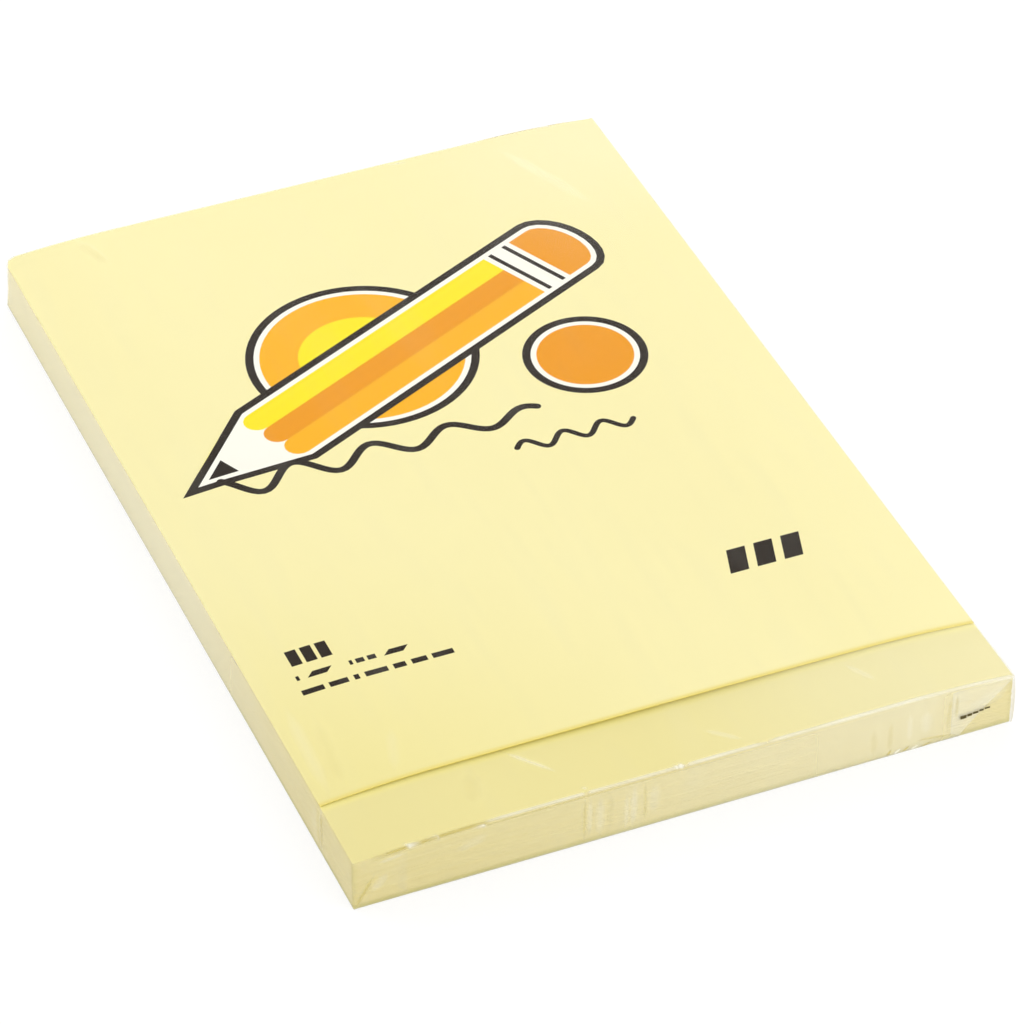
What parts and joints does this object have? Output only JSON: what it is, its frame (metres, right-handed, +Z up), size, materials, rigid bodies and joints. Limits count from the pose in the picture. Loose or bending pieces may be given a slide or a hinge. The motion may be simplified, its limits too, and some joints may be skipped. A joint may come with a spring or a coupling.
{
  "type": "sticky note pad",
  "caption": "Film-wrapped pad of yellow sticky notes with a printed cover sheet that stops short of the near end, over a block of glued notes and a plain backing sheet",
  "frame": {"origin": "middle of the flat underside of the wrapped pad", "axes": "+X along the short side, +Y along the long side towards the end where the cover and the notes are glued, +Z up from the underside"},
  "size_m": [0.1024, 0.1526, 0.0104],
  "materials": {
    "clear_film": "thin clear shrink-wrap film, glossy, with fine tension wrinkles",
    "printed_cover": null,
    "note_paper": "uncoated pale yellow paper, fine fibre grain, layered cut edges",
    "backing_paper": "plain heavier uncoated paper"
  },
  "bodies": {
    "root": {"film_wrap": "clear_film", "cover_sheet": "printed_cover", "note_sheets": "note_paper", "backing_sheet": "backing_paper"}
  },
  "joints": []
}
